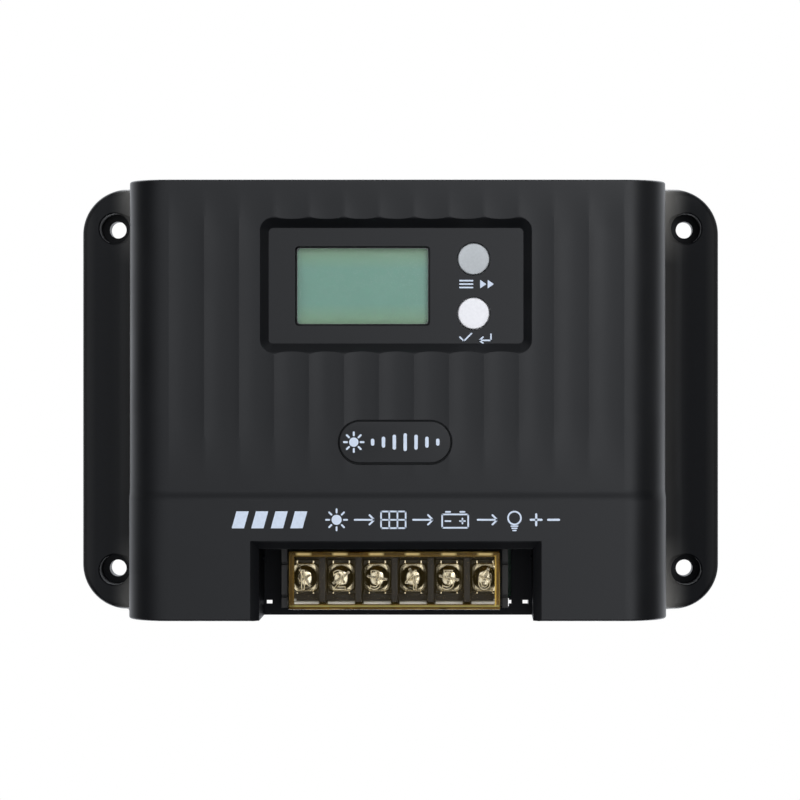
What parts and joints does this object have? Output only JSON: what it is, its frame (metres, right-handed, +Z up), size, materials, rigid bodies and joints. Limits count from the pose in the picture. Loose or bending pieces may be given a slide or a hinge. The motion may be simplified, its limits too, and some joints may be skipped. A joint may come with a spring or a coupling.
{
  "type": "solar charge controller",
  "caption": "Wall-mounted solar charge controller: fluted housing with side flanges, display with push buttons, and screw terminals under an amber cover.",
  "frame": {"origin": "centre of the back mounting plane, on the heatsink's centre rib", "axes": "+X to the right as seen from the front, +Z up, and the front faces -Y; +Y points into the wall"},
  "size_m": [0.185, 0.0552, 0.1222],
  "materials": {
    "housing_black": "satin moulded",
    "block_black": "matt moulded",
    "window_clear": "clear polished",
    "lcd_green": "smooth film over a liquid crystal cell",
    "backlight_white": "smooth",
    "button_grey": "satin",
    "button_white": "satin",
    "epoxy_black": "matt moulded",
    "board_green": "solder mask over glass fibre",
    "cover_amber": "clear amber, polished",
    "heatsink_aluminium": "extruded and machined",
    "core_yellow": "painted powder core",
    "copper_wire": "enamelled",
    "capacitor_sleeve": "shrink sleeve",
    "terminal_nickel": "nickel plated, bright",
    "cable_grey": "ribbed",
    "thermal_rubber": "soft, matt",
    "screw_steel": "zinc plated"
  },
  "bodies": {
    "case": {"badge_plaque": "housing_black", "board_screw_1": "screw_steel", "board_screw_2": "screw_steel", "board_screw_3": "screw_steel", "board_screw_4": "screw_steel", "clamp_screw": "screw_steel", "contact_plate_1": "terminal_nickel", "contact_plate_2": "terminal_nickel", "contact_plate_3": "terminal_nickel", "contact_plate_4": "terminal_nickel", "contact_plate_5": "terminal_nickel", "contact_plate_6": "terminal_nickel", "current_shunt": "terminal_nickel", "display_board": "board_green", "display_screw_1": "screw_steel", "display_screw_2": "screw_steel", "enter_switch": "epoxy_black", "front_housing": "housing_black", "heatsink_plate": "heatsink_aluminium", "housing_screw_1": "screw_steel", "housing_screw_2": "screw_steel", "housing_screw_3": "screw_steel", "housing_screw_4": "screw_steel", "inductor_core": "core_yellow", "inductor_winding": "copper_wire", "input_capacitor_1": "capacitor_sleeve", "input_capacitor_2": "capacitor_sleeve", "lcd_backlight": "backlight_white", "lcd_panel": "lcd_green", "lcd_window": "window_clear", "main_board": "board_green", "microcontroller": "epoxy_black", "mosfet_1": "epoxy_black", "mosfet_2": "epoxy_black", "mosfet_3": "epoxy_black", "mosfet_4": "epoxy_black", "mosfet_clamp": "heatsink_aluminium", "output_capacitor": "capacitor_sleeve", "ribbon_cable": "cable_grey", "select_switch": "epoxy_black", "terminal_block": "block_black", "thermal_pad": "thermal_rubber"},
    "select_key": {"select_button": "button_grey", "select_plunger": "epoxy_black"},
    "enter_key": {"enter_button": "button_white", "enter_plunger": "epoxy_black"},
    "cover": {"terminal_cover": "cover_amber"},
    "clamp_1": {"clamp_washer_1": "terminal_nickel"},
    "driver_1": {"terminal_screw_1": "terminal_nickel"},
    "clamp_2": {"clamp_washer_2": "terminal_nickel"},
    "driver_2": {"terminal_screw_2": "terminal_nickel"},
    "clamp_3": {"clamp_washer_3": "terminal_nickel"},
    "driver_3": {"terminal_screw_3": "terminal_nickel"},
    "clamp_4": {"clamp_washer_4": "terminal_nickel"},
    "driver_4": {"terminal_screw_4": "terminal_nickel"},
    "clamp_5": {"clamp_washer_5": "terminal_nickel"},
    "driver_5": {"terminal_screw_5": "terminal_nickel"},
    "clamp_6": {"clamp_washer_6": "terminal_nickel"},
    "driver_6": {"terminal_screw_6": "terminal_nickel"}
  },
  "joints": [
    {"name": "select_press", "type": "slide", "parent": "case", "child": "select_key", "axis": [0, 1, 0], "range_m": [0, 0.0005]},
    {"name": "enter_press", "type": "slide", "parent": "case", "child": "enter_key", "axis": [0, 1, 0], "range_m": [0, 0.0005]},
    {"name": "cover_pull", "type": "slide", "parent": "case", "child": "cover", "axis": [0, -1, 0], "range_m": [0, 0.03]},
    {"name": "clamp_1_lift", "type": "slide", "parent": "case", "child": "clamp_1", "axis": [0, -1, 0], "range_m": [0, 0.003]},
    {"name": "screw_1_turn", "type": "hinge", "parent": "clamp_1", "child": "driver_1", "pos_m": [-0.0263, -0.0361, -0.0502], "axis": [0, -1, 0], "range_deg": [0, 1543]},
    {"name": "clamp_2_lift", "type": "slide", "parent": "case", "child": "clamp_2", "axis": [0, -1, 0], "range_m": [0, 0.003]},
    {"name": "screw_2_turn", "type": "hinge", "parent": "clamp_2", "child": "driver_2", "pos_m": [-0.01614, -0.0361, -0.0502], "axis": [0, -1, 0], "range_deg": [0, 1543]},
    {"name": "clamp_3_lift", "type": "slide", "parent": "case", "child": "clamp_3", "axis": [0, -1, 0], "range_m": [0, 0.003]},
    {"name": "screw_3_turn", "type": "hinge", "parent": "clamp_3", "child": "driver_3", "pos_m": [-0.00598, -0.0361, -0.0502], "axis": [0, -1, 0], "range_deg": [0, 1543]},
    {"name": "clamp_4_lift", "type": "slide", "parent": "case", "child": "clamp_4", "axis": [0, -1, 0], "range_m": [0, 0.003]},
    {"name": "screw_4_turn", "type": "hinge", "parent": "clamp_4", "child": "driver_4", "pos_m": [0.00418, -0.0361, -0.0502], "axis": [0, -1, 0], "range_deg": [0, 1543]},
    {"name": "clamp_5_lift", "type": "slide", "parent": "case", "child": "clamp_5", "axis": [0, -1, 0], "range_m": [0, 0.003]},
    {"name": "screw_5_turn", "type": "hinge", "parent": "clamp_5", "child": "driver_5", "pos_m": [0.01434, -0.0361, -0.0502], "axis": [0, -1, 0], "range_deg": [0, 1543]},
    {"name": "clamp_6_lift", "type": "slide", "parent": "case", "child": "clamp_6", "axis": [0, -1, 0], "range_m": [0, 0.003]},
    {"name": "screw_6_turn", "type": "hinge", "parent": "clamp_6", "child": "driver_6", "pos_m": [0.0245, -0.0361, -0.0502], "axis": [0, -1, 0], "range_deg": [0, 1543]}
  ],
  "couplings": [
    {"joint": "screw_1_turn", "follows": "clamp_1_lift", "rad_per_m": 8976},
    {"joint": "screw_2_turn", "follows": "clamp_2_lift", "rad_per_m": 8976},
    {"joint": "screw_3_turn", "follows": "clamp_3_lift", "rad_per_m": 8976},
    {"joint": "screw_4_turn", "follows": "clamp_4_lift", "rad_per_m": 8976},
    {"joint": "screw_5_turn", "follows": "clamp_5_lift", "rad_per_m": 8976},
    {"joint": "screw_6_turn", "follows": "clamp_6_lift", "rad_per_m": 8976}
  ]
}
